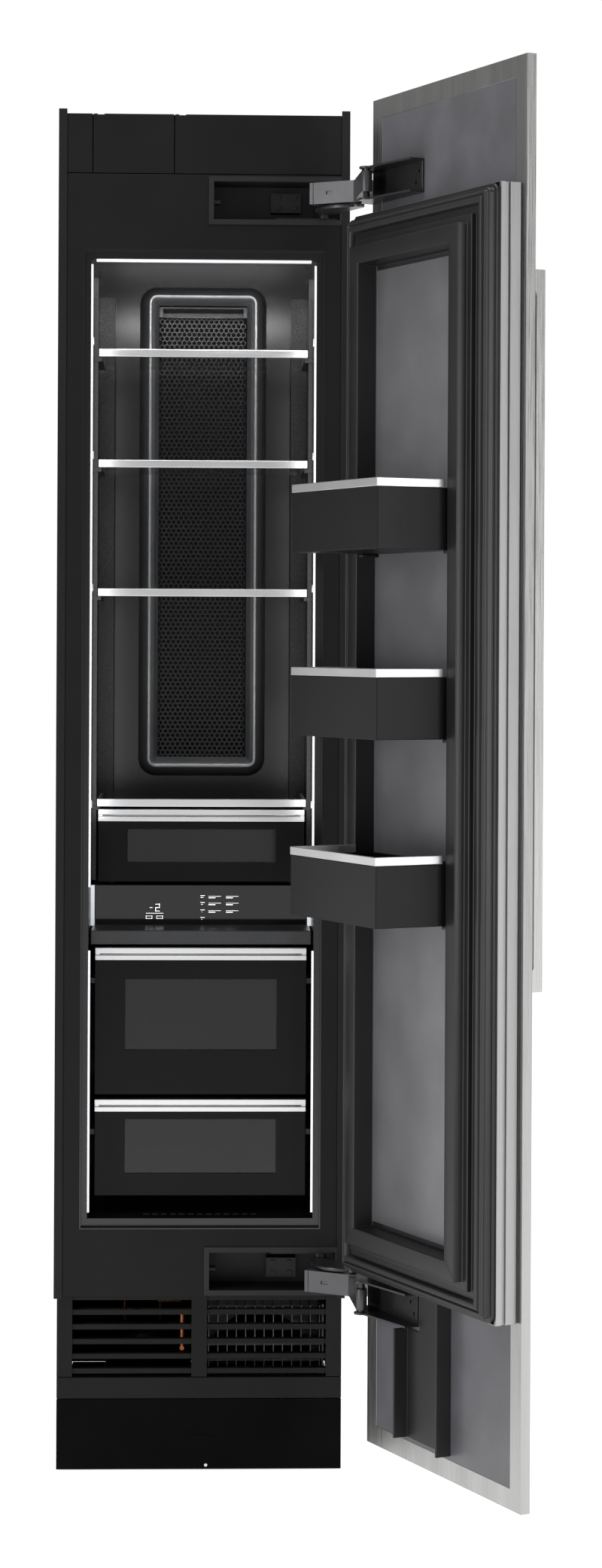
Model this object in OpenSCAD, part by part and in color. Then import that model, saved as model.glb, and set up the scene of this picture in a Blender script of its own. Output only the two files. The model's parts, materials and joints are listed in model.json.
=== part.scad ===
// Built-in, panel-ready column freezer with its door standing open.
// Millimetres, +Z up, +X to the right, +Y towards the back of the cabinet.
// The origin is the middle of the toe-kick's front face, at floor level.

/* [Cabinet] */
// Width of the cabinet and of the door panel
cabinet_w = 451; // [440:1:560]
// Depth from the face to the back
cabinet_d = 620; // [560:1:700]
// Height of the steel casing above the floor
cabinet_h = 2110; // [2050:1:2300]
// How far the face stands in front of the toe-kick
face_out = 15; // [8:1:30]
// Height of the machine base under the insulated box
base_h = 270; // [230:1:300]
// Height of the service space above the insulated box
service_h = 100; // [85:1:140]
// Sheet thickness of casing and base
sheet = 1.2; // [1:0.1:3]
// Width of the casing's front flange
flange_w = 13; // [10:0.5:20]
// Thickness of the face sheet
face_t = 2; // [1:0.5:4]

/* [Cavity] */
// Insulation between the cavity and the casing's sides
side_wall = 48.5; // [44:0.5:60]
// Cavity floor above the machine base
cavity_rise = 122; // [118:1:150]
// Insulation above the cavity's mouth
cavity_drop = 130; // [122:1:160]
// Rise of the ceiling behind the lamp header
ceiling_rise = 50; // [0:1:60]
// Depth of the lamp header
header_d = 34; // [26:1:60]
// Depth of the cavity behind the face
cavity_d = 520; // [480:1:560]
// Step of the rebate around the cavity mouth
rebate = 9.5; // [6:0.5:14]
// Depth of that rebate
rebate_d = 12; // [8:1:18]
// Depth of the air duct behind the cavity's back wall
duct_d = 60; // [45:1:70]
// Wall of the inner liner
liner_t = 2; // [1.5:0.5:3]

/* [Shelves] */
// Heights of the shelf tops above the cavity floor
shelf_z = [1362, 1185, 979, 642.5]; // [100:1:1450]
// Distance from the face to the shelf fronts
shelf_set = 165; // [135:1:200]
// Thickness of the shelf glass
glass_t = 6; // [4:0.5:8]
// Height of the bright trim on a shelf's front
trim_h = 12; // [9:0.5:16]

/* [Drawers] */
// Distance from the face to the two lower drawer fronts
drawer_set = 52; // [40:1:80]
// Height of the bright rail on a drawer
rail_h = 19; // [14:0.5:22]
// Wall of a drawer tub
tub_t = 2.5; // [2:0.5:4]

/* [Door] */
// From the overlay panel's top edge to the casing's top
panel_top = 7; // [0:1:30]
// Gap from the floor to the panel
panel_gap = 83; // [60:1:110]
// Overlay panel thickness
panel_t = 15; // [12:1:22]
// Distance from the panel back to the cabinet face, door closed
door_t = 58; // [50:1:80]
// Depth of the satin door case
case_d = 35; // [28:1:45]
// Inset of the case from the panel's edges
case_in = 10; // [6:1:20]
// Height of the raised plug above the gasket face
plug_rise = 15; // [10:1:20]
// Width of the plug's mitred rim
plug_rim = 27; // [18:1:32]
// Gap between a door bin and each side of the well
bin_gap = 4; // [1:0.5:8]
// How far a bin reaches out of the plug
bin_reach = 109; // [70:1:110]
// Height of a bin
bin_h = 99; // [70:1:120]
// Heights of the bins' tops above the floor
bin_z = [1516, 1251, 990]; // [500:1:1800]

/* [Handle] */
// Length of the handle
handle_l = 1011; // [600:1:1400]
// Projection of the handle from the panel
handle_out = 40; // [35:1:60]
// Inset from the panel's latch edge to the bar's middle
handle_in = 50; // [30:1:80]

/* [Hinges] */
// Pivot in the pocket, from the cabinet's hinge side and the face
pivot_in = [-38.5, 15]; // [-60:0.5:30]
// Pivot between link and arm with the door open, from the same corner
pivot_out = [8.5, -83]; // [-100:0.5:20]
// Door pivot, from the panel's hinge edge and back
pivot_c = [44, 34]; // [10:0.5:60]
// The panel's hinge corner with the door open, from the cabinet's
corner_out = [27.6, -137.7]; // [-150:0.1:40]
// Radius of the hinge pins
pin_r = 5; // [4:0.5:6]
// Depth of a hinge pocket
pocket_d = 66; // [60:1:90]

/* [Hidden] */
seam = 0.2;      // between separate mouldings that butt together
$fn = 64;
fit = 0.05;          // radial clearance of a pin in its bore
gap = 0.3;           // clearance between sliding pieces
loose = 1.5;         // clearance of the opened lower pivot
door_open = 115;     // angle at which the linkage is drawn

face_y = -face_out;
back_y = face_y + cabinet_d;
half_w = cabinet_w / 2;
panel_h = cabinet_h - panel_gap - panel_top;
pivot_a = pivot_in + [half_w, 0];
pivot_b = pivot_out + [half_w, 0];
corner_open = corner_out + [half_w, 0];
frame_hw = half_w - flange_w;             // half width of the face sheet
cover_z = cabinet_h - service_h;          // bottom of the top covers
cav_hw = half_w - side_wall - liner_t;    // half width of the clear cavity
cav_z0 = base_h + cavity_rise;
cav_z1 = cover_z - cavity_drop;
ceiling_z = cav_z1 + ceiling_rise;
mouth_hw = cav_hw + rebate;
mouth_z0 = cav_z0 - rebate - 3.5;
mouth_z1 = cav_z1 + rebate + 2.5;
cav_back = face_y + cavity_d;
rest_z = base_h + 4;                      // bottom of the face sheet

// hinge levels, measured from the middle of a pocket and mirrored for the lower hinge
pocket_h = 58.7;
pocket_x0 = half_w - 210.8;
pocket_x1 = frame_hw - 2.5;
pocket_rim = 8;
upper_z = cover_z - 39.7;
lower_z = base_h + 42;
link_z = -20;        // underside of the link plate
link_t = 5;
arm_z = -13;         // underside of the arm
arm_h = 33;
ear_t = 3;
ear_lo = -24.4;      // underside of the lower ear of a door bracket
ear_hi = 22.5;       // underside of its upper ear
arm_w = 16;
cover_w = 22;
cover_from = [half_w - 57.4, -47.8];
cover_to = [half_w + 28.9, -95.7];

// door positions: s runs from the hinge edge to the latch edge, q from the panel back to the cabinet
module on_door() {
    translate([corner_open[0], face_y + corner_open[1], 0]) rotate([0, 0, door_open])
        children();
}
module door_box(s0, s1, q0, q1, z0, z1) {
    translate([-s1, q0, z0]) cube([s1 - s0, q1 - q0, z1 - z0]);
}
// the door pivot with the door as it stands
pivot_c_now = [
    corner_open[0] - pivot_c[0] * cos(door_open) - pivot_c[1] * sin(door_open),
    corner_open[1] - pivot_c[0] * sin(door_open) + pivot_c[1] * cos(door_open)];

// box between two corners
module span(a, b) {
    translate(a) cube([b[0] - a[0], b[1] - a[1], b[2] - a[2]]);
}
// box with its middle on X = 0
module wide(w, y0, y1, z0, z1) {
    span([-w / 2, y0, z0], [w / 2, y1, z1]);
}
module both_sides() {
    children();
    mirror([1, 0, 0]) children();
}
// flat bar between two points in plan, with an eye a little wider than the bar at each end
module bar_2d(a, b, w) {
    d = b - a;
    eye = w + 1;
    translate(a) rotate(atan2(d[1], d[0])) translate([0, -w / 2]) square([norm(d), w]);
    translate(a) circle(d = eye);
    translate(b) circle(d = eye);
}

// ---- cabinet ----

module outer_shell() color("#202022") {
    z0 = base_h;
    both_sides() {
        span([half_w - sheet, face_y - 2, z0], [half_w, back_y, cabinet_h]);
        span([frame_hw, face_y - 2, z0], [half_w - sheet, face_y, cabinet_h]);
    }
    wide(cabinet_w - 2 * sheet, back_y - sheet, back_y, z0, cabinet_h);
    wide(cabinet_w - 2 * sheet, face_y + 8, back_y - sheet, cabinet_h - 7 - sheet, cabinet_h - 7);
}

module insulation() color("#e8dfc0") difference() {
    wide(cabinet_w - 2 * sheet, face_y + face_t, back_y - sheet, rest_z, cover_z - 2);
    wide(2 * (cav_hw + liner_t), face_y, cav_back + liner_t, cav_z0 - liner_t, cav_z1 + liner_t);
    wide(2 * (cav_hw + liner_t), face_y + header_d - liner_t, cav_back + liner_t, cav_z1, ceiling_z + liner_t);
    wide(2 * (duct_hw + liner_t), cav_back, cav_back + duct_d + liner_t, duct_z0 - liner_t, duct_z1 + liner_t);
    wide(2 * (mouth_hw + liner_t), face_y, face_y + rebate_d + liner_t,
        mouth_z0 - liner_t, mouth_z1 + liner_t);
    for (z = [upper_z, lower_z])
        span([pocket_x0 - sheet, face_y, z - pocket_h / 2 - sheet],
            [frame_hw, face_y + pocket_d + sheet, z + pocket_h / 2 + sheet]);
}

// breaker strips round the mouth, the cavity box and the duct's panels, each its own piece
module inner_liner() color("#151517") {
    // four strips: the top and bottom ones run full width, the sides stand between them
    difference() {
        wide(2 * (mouth_hw + liner_t), face_y, face_y + rebate_d + liner_t,
            mouth_z0 - liner_t, mouth_z1 + liner_t);
        wide(2 * mouth_hw, face_y - 1, face_y + rebate_d, mouth_z0, mouth_z1);
        wide(2 * cav_hw, face_y, cav_back, cav_z0, cav_z1);
        for (z = [cav_z0 - seam, cav_z1])
            wide(2 * (mouth_hw + liner_t) + 2, face_y - 1, face_y + rebate_d + liner_t + 1, z, z + seam);
    }
    // cavity walls with the raised ceiling
    difference() {
        union() {
            wide(2 * (cav_hw + liner_t), face_y + rebate_d + liner_t + seam, cav_back + liner_t,
                cav_z0 - liner_t, cav_z1 + liner_t);
            wide(2 * (cav_hw + liner_t), face_y + header_d - liner_t, cav_back + liner_t,
                cav_z1, ceiling_z + liner_t);
        }
        wide(2 * cav_hw, face_y, cav_back, cav_z0, cav_z1);
        wide(2 * cav_hw, face_y + header_d, cav_back, cav_z1 - 1, ceiling_z);
        wide(2 * duct_hw, cav_back - 1, cav_back + liner_t + 1, duct_z0, duct_z1);
    }
    // duct behind the opening in the back wall: two sides, a floor, a roof and a back
    duct_y = cav_back + liner_t + seam;
    for (x = [-duct_hw - liner_t, duct_hw])
        span([x, duct_y, duct_z0], [x + liner_t, cav_back + duct_d - seam, duct_z1]);
    for (z = [duct_z0 - liner_t, duct_z1 + seam])
        wide(2 * (duct_hw + liner_t), duct_y, cav_back + duct_d - seam, z, z + liner_t - seam);
    wide(2 * (duct_hw + liner_t), cav_back + duct_d, cav_back + duct_d + liner_t,
        duct_z0 - liner_t, duct_z1 + liner_t);
}

module face_frame() color("#2c2c2f") difference() {
    wide(2 * frame_hw, face_y, face_y + face_t, rest_z, cover_z);
    wide(2 * (mouth_hw + liner_t), face_y - 1, face_y + face_t + 1,
        mouth_z0 - liner_t, mouth_z1 + liner_t);
    for (z = [upper_z, lower_z])
        span([pocket_x0 - sheet, face_y - 1, z - pocket_h / 2 - sheet],
            [frame_hw + 1, face_y + face_t + 1, z + pocket_h / 2 + sheet]);
}

// three service covers side by side over the top of the face
module top_covers() color("#2a2a2c") {
    seams = [-frame_hw, -half_w + 52, -half_w + 178, frame_hw];
    for (i = [0 : 2]) difference() {
        span([seams[i] + (i > 0 ? 1.5 : 0), face_y, cover_z + 1.5], [seams[i + 1], face_y + 3, cabinet_h - 7]);
        if (i > 0)
            span([seams[i] + 8, face_y - 1, cabinet_h - 10], [seams[i] + 18, face_y + 4, cabinet_h]);
    }
}

module pocket(z) {
    difference() {
        union() {
            span([pocket_x0 - sheet, face_y, z - pocket_h / 2 - sheet],
                [frame_hw, face_y + pocket_d + sheet, z + pocket_h / 2 + sheet]);
            span([pocket_x0 - pocket_rim, face_y - 2, z - pocket_h / 2 - pocket_rim],
                [frame_hw, face_y, z + pocket_h / 2 + pocket_rim]);
        }
        span([pocket_x0, face_y - 3, z - pocket_h / 2], [pocket_x1, face_y + pocket_d, z + pocket_h / 2]);
    }
    // rubber stop at the left end
    translate([pocket_x0, face_y + 22, z]) rotate([0, 90, 0]) cylinder(r = 5, h = 10);
}

// the fixed pivot plate of a hinge, drawn for the upper pocket's level
module pivot_plate() {
    floor_z = -pocket_h / 2;
    block_x = half_w - 121.5;
    span([half_w - 115.5, face_y + 4, floor_z], [half_w - 20.5, face_y + pocket_d, floor_z + 3]);
    // spring block on the pocket's back wall, above the link
    span([block_x, face_y + pocket_d - 26, arm_z], [block_x + 46, face_y + pocket_d, floor_z + 46]);
    translate([pivot_a[0], face_y + pivot_a[1], floor_z + 3])
        cylinder(r = pin_r, h = link_z + link_t + 1.5 - floor_z - 3);
    translate([pivot_a[0], face_y + pivot_a[1], floor_z + 3])
        cylinder(r = 9, h = link_z - gap - floor_z - 3);
    for (x = [block_x + 10, block_x + 36], z = [-6, 10])
        translate([x, face_y + pocket_d - 26, z]) rotate([90, 0, 0]) cylinder(r = 4, h = 2.5);
}

module hinge_pockets() color("#1a1a1c") {
    pocket(upper_z);
    pocket(lower_z);
    translate([0, 0, upper_z]) pivot_plate();
    translate([0, 0, lower_z]) mirror([0, 0, 1]) pivot_plate();
}

// ---- base ----

base_hw = half_w - 4.5;
strip_z = 111;
grille_z = 144.5;
louvre_h = 8;
louvre_pitch = 22.8;
louvres = floor((base_h + 1 - grille_z - louvre_h) / louvre_pitch) + 1;

module grille() color("#27272a") {
    top = base_h + 2;
    post = 24;
    for (x = [-base_hw, -post / 2, base_hw - post])
        span([x, 0, grille_z + 1], [x + post, 18, top]);
    for (i = [0 : louvres - 1])
        wide(2 * base_hw - 2 * post, 3, 16, top - louvre_h - i * louvre_pitch, top - i * louvre_pitch);
}

module lower_strip() color("#29292b") {
    wide(2 * base_hw, 0, sheet, strip_z + 1, grille_z);
    wide(2 * base_hw, sheet, 20, grille_z - sheet, grille_z);
}

module kick_plate() color("#101012") difference() {
    wide(2 * base_hw, 0, sheet, 2, strip_z);
    wide(52, -1, 0.6, 54, 63);
    translate([11, -1, 8]) rotate([-90, 0, 0]) cylinder(r = 2.5, h = 5);
}

leg_x = half_w - 47.5;
leg_y = 48;
leg_r = 5;
axle_y = back_y - 45;
axle_z = 20;
axle_r = 5;
tray_z = 28;

module base_tray() color("#3a3a3d") difference() {
    union() {
        both_sides() {
            span([base_hw - sheet, 20, 8], [base_hw, back_y, base_h]);
            span([base_hw - 30, 20, base_h - sheet], [base_hw - sheet, back_y - sheet, base_h]);
            translate([leg_x, leg_y, tray_z + 3]) cylinder(r = 12, h = 22);
        }
        wide(2 * (base_hw - sheet), 22, axle_y - 30, tray_z, tray_z + 3);
        wide(2 * (base_hw - sheet), 22, 25, tray_z + 3, 60);
        wide(2 * (base_hw - sheet), back_y - sheet, back_y, 45, base_h);
    }
    for (i = [-1, 1]) translate([i * leg_x, leg_y, 0]) cylinder(r = leg_r + fit, h = 100);
    translate([-half_w, axle_y, axle_z]) rotate([0, 90, 0]) cylinder(r = axle_r + fit, h = cabinet_w);
    for (i = [0 : 8]) wide(180, back_y - 10, back_y + 10, 110 + 16 * i, 118 + 16 * i);
}

module rear_rollers() color("#1b1b1b") {
    translate([-base_hw, axle_y, axle_z]) rotate([0, 90, 0]) cylinder(r = axle_r, h = 2 * base_hw);
    for (x = [-base_hw + 21, base_hw - 45]) translate([x, axle_y, axle_z]) rotate([0, 90, 0]) cylinder(r = axle_z, h = 24);
}

module leg(x) color("#8d9094") translate([x, leg_y, 0]) {
    cylinder(r = 18, h = 7);
    translate([0, 0, 7]) cylinder(r = 11, h = 6, $fn = 6);
    cylinder(r = leg_r, h = 62);
}
module leg_left() leg(-leg_x);
module leg_right() leg(leg_x);

comp = [-base_hw + 126, back_y - 175];
comp_r = 62;
comp_h = 96;

module compressor() color("#1c1c1e") translate([comp[0], comp[1], tray_z + 3]) {
    crown = 20;
    for (x = [-70, 70], y = [-55, 55]) translate([x, y, 0]) cylinder(r = 13, h = 14);
    span([-85, -70, 14], [85, 70, 17]);
    translate([0, 0, 17]) rotate_extrude() {
        square([comp_r, comp_h - crown]);
        translate([0, comp_h - crown]) square([comp_r - crown, crown]);
        translate([comp_r - crown, comp_h - crown]) intersection() {
            circle(r = crown);
            square(crown);
        }
    }
    // relay box
    translate([comp_r - 6, -22, 45]) cube([26, 44, 50]);
}

cond = [base_hw - 126, 60];   // middle of the condenser in X, front in Y
fan_y = 128;
fan_z = 138;
fan_shaft_r = 4;

module condenser() color("#55585c") {
    fins = 14;
    w = 190;
    z0 = tray_z + 3;
    for (i = [0 : fins - 1])
        span([cond[0] - w / 2 + i * (w - 1.2) / (fins - 1), cond[1], z0 + 12],
            [cond[0] - w / 2 + i * (w - 1.2) / (fins - 1) + 1.2, cond[1] + 50, z0 + 212]);
    for (k = [0 : 7], y = [14, 36])
        translate([cond[0] - w / 2 - 6, cond[1] + y, z0 + 24 + 25 * k]) rotate([0, 90, 0])
            cylinder(r = 4, h = w + 12);
    for (x = [-w / 2 - 6, w / 2 + 3])
        span([cond[0] + x, cond[1], z0], [cond[0] + x + 3, cond[1] + 60, z0 + 214]);
    difference() {
        span([cond[0] - w / 2 - 6, cond[1] + 60, z0], [cond[0] + w / 2 + 6, cond[1] + 63, z0 + 214]);
        translate([cond[0], cond[1] + 55, fan_z]) rotate([-90, 0, 0]) cylinder(r = 84, h = 20);
    }
    // motor on its cross bar behind the blades
    span([cond[0] - w / 2 - 6, fan_y + 26, fan_z - 8], [cond[0] + w / 2 + 6, fan_y + 29, fan_z + 8]);
    for (x = [-w / 2 - 6, w / 2 + 3])
        span([cond[0] + x, cond[1] + 63, fan_z - 8], [cond[0] + x + 3, fan_y + 26, fan_z + 8]);
    translate([cond[0], fan_y + 29, fan_z]) rotate([-90, 0, 0]) cylinder(r = 26, h = 30);
    translate([cond[0], fan_y + 12, fan_z]) rotate([-90, 0, 0]) cylinder(r = fan_shaft_r, h = 15);
}

// fan with its shaft along Y
module fan(r, blades, bore) difference() {
    union() {
        rotate([-90, 0, 0]) cylinder(r = r * 0.3, h = 20);
        for (i = [0 : blades - 1]) rotate([0, i * 360 / blades, 0])
            translate([r * 0.26, 10, 0]) rotate([35, 0, 0])
                translate([0, -1, -r * 0.2]) cube([r * 0.7, 2, r * 0.4]);
    }
    translate([0, 8, 0]) rotate([-90, 0, 0]) cylinder(r = bore, h = 20);
}

module condenser_fan() color("#2b2b2d")
    translate([cond[0], fan_y, fan_z]) fan(80, 5, fan_shaft_r + fit);

// square-cornered pipe through a list of points
module pipe(points, r) for (i = [0 : len(points) - 2]) {
    d = points[i + 1] - points[i];
    l = norm(d);
    translate(points[i] - d * r / l) rotate([0, acos(d[2] / l), atan2(d[1], d[0])])
        cylinder(r = r, h = l + 2 * r, $fn = 24);
}

module refrigerant_pipes() color("#b87333") {
    z = tray_z + 3;
    x = cond[0] - 122;     // clear of the condenser's side
    comp_top = z + 17 + comp_h;
    // discharge pipe to the condenser's top row
    thin = 3.5;
    thick = 4.5;
    pipe([[comp[0] + 30, comp[1], comp_top + thin], [comp[0] + 30, comp[1], comp_top + 30],
        [x, comp[1], comp_top + 30], [x, cond[1] + 14, comp_top + 30],
        [x, cond[1] + 14, z + 199], [cond[0] - 101 - thin, cond[1] + 14, z + 199]], thin);
    // suction pipe down from the insulated box
    pipe([[comp[0] - 30, comp[1], comp_top + thick], [comp[0] - 30, comp[1], base_h - thick]], thick);
}

module power_inlet() color("#141414") {
    inlet_x = 75.5 - half_w;
    translate([inlet_x, back_y, 70]) difference() {
        translate([-24, 0, -16]) cube([48, 4, 32]);
        translate([-12, 1, -9]) cube([24, 4, 18]);
    }
    for (x = [-7, 0, 7]) translate([inlet_x + x, back_y + 1, 70 + (x == 0 ? 4 : 0)])
        rotate([-90, 0, 0]) cylinder(r = 1.2, h = 2.6);
}

// ---- inside the cavity ----

tower_hw = 108;
tower_d = 36;
tower_t = 1.2;
tower_y = cav_back - tower_d;
tower_z0 = cav_z0 + 665;
tower_z1 = cav_z1 + 12;
tower_r = 30;
lattice_hw = 75;
lattice_z0 = tower_z0 + 27;
lattice_z1 = tower_z1 - 30;
lattice_y = cav_back - 16;
lattice_t = 3;
duct_hw = lattice_hw - 6;
duct_z0 = lattice_z0 + 6;
duct_z1 = lattice_z1 - 6;
evap_shaft_r = 3;
evap_y = cav_back + 6;
evap_z = duct_z1 - 76;

// upright plate with round corners, its front at y
module upright(hw, z0, z1, r, y, t)
    translate([-hw, y + t, z0]) rotate([90, 0, 0]) linear_extrude(t) {
        w = 2 * hw;
        h = z1 - z0;
        translate([r, 0]) square([w - 2 * r, h]);
        translate([0, r]) square([w, h - 2 * r]);
        for (x = [r, w - r], z = [r, h - r]) translate([x, z]) circle(r = r);
    }

// drawn steel cover of the air tower, open at the back, and the fan's motor on a bracket in the duct
module air_cover() color("#b9bcc0") {
    difference() {
        upright(tower_hw, tower_z0, tower_z1, tower_r, tower_y, tower_d);
        difference() {
            upright(tower_hw - tower_t, tower_z0 + tower_t, tower_z1 - tower_t, tower_r - tower_t,
                tower_y + tower_t, tower_d);
            wide(2 * (lattice_hw + tower_t), tower_y, lattice_y + lattice_t,
                lattice_z0 - tower_t, lattice_z1 + tower_t);
        }
        wide(2 * lattice_hw, tower_y - 1, cav_back + 1, lattice_z0, lattice_z1);
    }
    bar_y = evap_y + 24;
    for (x = [-duct_hw, duct_hw - 2])
        span([x, lattice_y + lattice_t + 1, evap_z - 9], [x + 2, bar_y, evap_z + 9]);
    wide(2 * duct_hw, bar_y, bar_y + 2, evap_z - 9, evap_z + 9);
    translate([0, bar_y + 2, evap_z]) rotate([-90, 0, 0]) cylinder(r = 24, h = 22);
    translate([0, evap_y + 12, evap_z]) rotate([-90, 0, 0]) cylinder(r = evap_shaft_r, h = 13);
    // the bracket's feet on the back of the cover
    for (x = [-lattice_hw - tower_t, duct_hw - 2])
        span([x, lattice_y + lattice_t + 1, evap_z - 9],
            [x + lattice_hw + tower_t - duct_hw + 2, lattice_y + lattice_t + 3, evap_z + 9]);
}

module air_lattice() color("#0c0c0d") {
    w = 2 * lattice_hw;
    h = lattice_z1 - lattice_z0;
    cols = 4;
    rows = floor(h / 38);
    hole = [w / cols - 6, h / rows - 6];
    translate([-lattice_hw, lattice_y + lattice_t, lattice_z0]) rotate([90, 0, 0])
        linear_extrude(lattice_t) difference() {
            square([w, h]);
            for (i = [0 : cols - 1], j = [0 : rows - 1])
                translate([(i + 0.5) * w / cols - hole[0] / 2, (j + 0.5) * h / rows - hole[1] / 2])
                    square(hole);
        }
}

module evaporator_fan() color("#3a3a3c")
    translate([0, evap_y, evap_z]) fan(62, 7, evap_shaft_r + fit);

led_t = 3;
shelf_hw = cav_hw - 7.5;
module led_strips() color("#f4f8ff") {
    wide(2 * cav_hw - 16, face_y + rebate_d + 8, face_y + rebate_d + 20, cav_z1 - led_t, cav_z1);
    both_sides() {
        span([cav_hw - led_t, face_y + rebate_d + 6, cav_z0 + 8],
            [cav_hw, face_y + rebate_d + 12, panel_z0 - 6]);
        span([cav_hw - led_t, face_y + rebate_d + 6, panel_z1 + 8],
            [cav_hw, face_y + rebate_d + 12, cav_z1 - 8]);
        span([cav_hw - 5, face_y + shelf_set - 20, panel_z0 + 22], [cav_hw, face_y + shelf_set, panel_z1]);
    }
}

// slotted posts on the side walls, shelf ledges and drawer runners
post_y = [face_y + 190, cav_back - 34];
ledge_w = 12;
module shelf_tracks() color("#1d1d20") both_sides() {
    for (y = post_y) difference() {
        d = y == post_y[1] ? 25 : 6;
        span([cav_hw - d, y, panel_z1 + 6], [cav_hw, y + (d > 6 ? 34 : 16), cav_z1 - 10]);
        for (z = [panel_z1 + 40 : 32 : cav_z1 - 40])
            span([cav_hw - d - 1, y + 5, z], [cav_hw - d + 3, y + 11, z + 14]);
    }
    for (z = shelf_z)
        span([cav_hw - ledge_w, face_y + shelf_set + 20, cav_z0 + z - trim_h - gap - 6],
            [cav_hw, face_y + shelf_set + 190, cav_z0 + z - trim_h - gap]);
    for (i = [1, 2])
        span([cav_hw - ledge_w, face_y + drawer_set + 20, runner_z(i) - 8],
            [cav_hw, cav_back - 20, runner_z(i)]);
}

// shelf: glass in a bright front trim with two side rails
module shelf_glass(i) color("#a8c4c0", 0.4) {
    z1 = cav_z0 + shelf_z[i];
    y0 = face_y + shelf_set + 5;
    wide(2 * shelf_hw - 8, y0, tower_y - 18, z1 - glass_t - 2, z1 - 2);
}
module shelf_trim(i) color("#d9dadc") {
    z1 = cav_z0 + shelf_z[i];
    y0 = face_y + shelf_set;
    difference() {
        wide(2 * shelf_hw, y0, y0 + 12, z1 - trim_h, z1);
        wide(2 * shelf_hw - 8, y0 + 5, y0 + 13, z1 - glass_t - 2, z1 - 2);
    }
    both_sides() span([shelf_hw - 4, y0 + 12, z1 - trim_h], [shelf_hw, y0 + 200, z1]);
}
module shelf_1_glass() shelf_glass(0);
module shelf_1_trim() shelf_trim(0);
module shelf_2_glass() shelf_glass(1);
module shelf_2_trim() shelf_trim(1);
module shelf_3_glass() shelf_glass(2);
module shelf_3_trim() shelf_trim(2);
module shelf_4_glass() shelf_glass(3);
module shelf_4_trim() shelf_trim(3);

// control panel: upright glass set back over a forward ledge
panel_z0 = cav_z0 + 420;
panel_z1 = cav_z0 + 505;
ledge_z = panel_z0 + 22;
module control_housing() color("#2b2c2f") {
    y0 = face_y + drawer_set + 8;
    y1 = face_y + shelf_set;
    wide(2 * cav_hw - 4, y0, y1 + 90, panel_z0, ledge_z);
    wide(2 * cav_hw - 4, y1 + 3, y1 + 90, ledge_z, panel_z1 - 3);
    wide(2 * cav_hw - 4, y1 + 3, cav_back - 40, panel_z1 - 3, panel_z1);
}
module control_glass() color("#08080a")
    wide(2 * cav_hw - 12, face_y + shelf_set, face_y + shelf_set + 3, ledge_z, panel_z1);

// drawers: [front y, bottom z, rail top z, window bottom z, window top z]
drawer = [
    [face_y + shelf_set, panel_z1 + 5, cav_z0 + 626, panel_z1 + 37, panel_z1 + 89],
    [face_y + drawer_set, cav_z0 + 186, cav_z0 + 415.5, cav_z0 + 256, cav_z0 + 366],
    [face_y + drawer_set, cav_z0 + 28, cav_z0 + 178.5, cav_z0 + 63, cav_z0 + 147]];
window_hw = 118;
function runner_z(i) = drawer[i][2] - rail_h - 30 - gap;
front_hw = cav_hw - 9.5;

module drawer_tub(i) color("#2f3033") difference() {
    d = drawer[i];
    y0 = d[0] + 4;
    top = d[2] - rail_h;
    y1 = cav_back - 35;
    hw = front_hw - 8;
    difference() {
        union() {
            wide(2 * front_hw, y0, y0 + 6, d[1], top);
            wide(2 * hw, y0 + 6, y1, d[1] + 6, top - 10);
            if (i > 0) both_sides()
                span([hw, y0 + 30, top - 30], [front_hw + 4, y1, top - 26]);
            if (i == 0) both_sides() for (y = [y0 + 20, y1 - 40])
                translate([hw - 14, y, d[1] - 5 + 11]) rotate([-90, 0, 0]) cylinder(r = 10.7, h = 12);
        }
        wide(2 * (hw - tub_t), y0 + 6, y1 - tub_t, d[1] + 6 + tub_t, top + 1);
        wide(2 * window_hw, y0 - 1, y0 + 7, d[3], d[4]);
    }
}
// bright pull rail with a finger groove along its front
module drawer_rail(i) color("#dcdde0") {
    d = drawer[i];
    difference() {
        wide(2 * front_hw, d[0], d[0] + 16, d[2] - rail_h, d[2]);
        wide(2 * front_hw + 2, d[0] - 1, d[0] + 2.5, d[2] - rail_h / 2 - 2, d[2] - rail_h / 2 + 1);
        wide(2 * front_hw - 20, d[0] + 5, d[0] + 13, d[2] - rail_h - 1, d[2] - 3);
    }
}
module drawer_window(i) color("#9fb4c4", 0.4) {
    d = drawer[i];
    wide(2 * window_hw, d[0] + 5, d[0] + 9, d[3], d[4]);
}
module drawer_1_tub() drawer_tub(0);
module drawer_1_rail() drawer_rail(0);
module drawer_1_window() drawer_window(0);
module drawer_2_tub() drawer_tub(1);
module drawer_2_rail() drawer_rail(1);
module drawer_2_window() drawer_window(1);
module drawer_3_tub() drawer_tub(2);
module drawer_3_rail() drawer_rail(2);
module drawer_3_window() drawer_window(2);

// ---- door ----

case_z0 = base_h + 75;
case_z1 = cover_z - 85;
panel_z0_door = panel_gap;
panel_z1_door = panel_gap + panel_h;
back_in = 30;
flange_q = door_t - 8; // gasket seat
step_q = case_d + 0.4 * (flange_q - case_d);     // lower step of the liner's edge
plug_q = door_t + plug_rise;
plug_in = 63.5;      // from the panel's edges to the plug
rim_step = 12;       // the frame bars' outer step
plug_z0 = cav_z0 + 12;
plug_z1 = cav_z1 - 15;
well_q = case_d + (flange_q - case_d) * 7 / 15;  // floor of the well
well_s0 = plug_in + plug_rim;
ledge_s = bin_gap + 10;

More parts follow.
